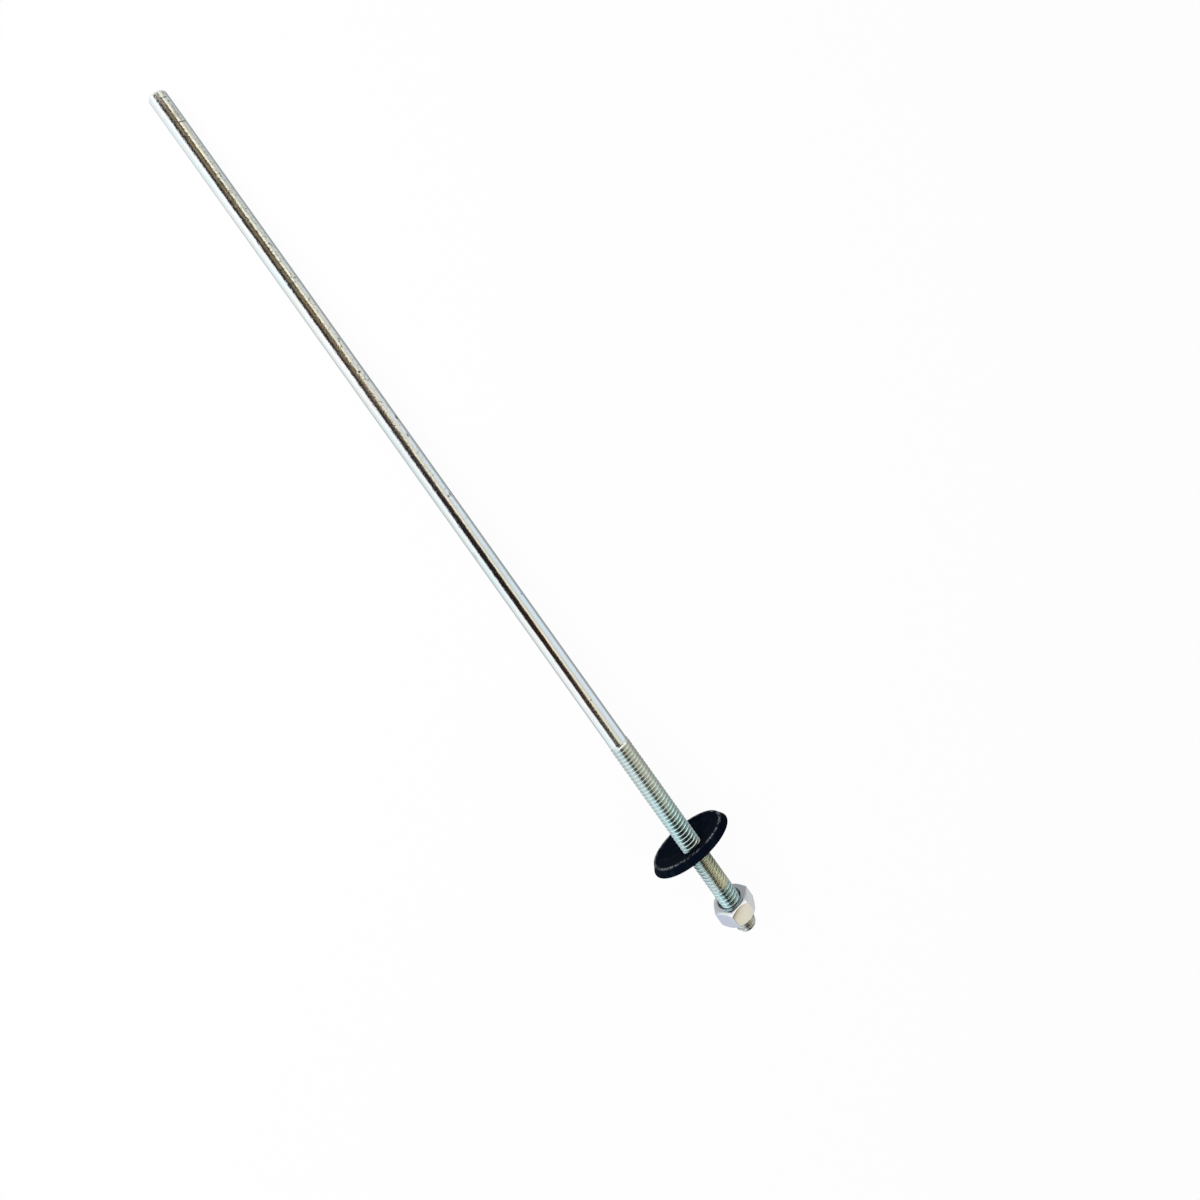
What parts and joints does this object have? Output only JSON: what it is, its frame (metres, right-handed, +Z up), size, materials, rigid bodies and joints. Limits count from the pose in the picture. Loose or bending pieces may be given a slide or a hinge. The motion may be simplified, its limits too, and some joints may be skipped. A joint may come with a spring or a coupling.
{
  "type": "straight roofing bolt",
  "caption": "Straight roofing bolt: a long plain steel rod threaded at one end, with a loose dished rubber sealing washer and a hexagon nut.",
  "frame": {"origin": "on the floor under the middle of the bolt's box, with the bolt lying at rest on its plain end and its washer's rim", "axes": "+X along the bolt towards its threaded tip, +Z up"},
  "size_m": [0.37, 0.0332, 0.032],
  "materials": {
    "zinc_rod": "bright zinc plating with faint yellow and blue tints",
    "black_rubber": "smooth moulded rubber with a dull sheen",
    "zinc_nut": "bright zinc plating"
  },
  "bodies": {
    "rod": {"bolt_rod": "zinc_rod"},
    "washer": {"sealing_washer": "black_rubber"},
    "nut": {"hex_nut": "zinc_nut"}
  },
  "joints": [
    {"name": "washer_slide", "type": "slide", "parent": "rod", "child": "washer", "axis": [0.9993, 0, 0.0381], "range_m": [-0.3348, 0.0195]},
    {"name": "nut_turn", "type": "hinge", "parent": "rod", "child": "nut", "pos_m": [0.17664, 0, 0.01741], "axis": [0.9993, 0, 0.0381], "continuous": true}
  ]
}
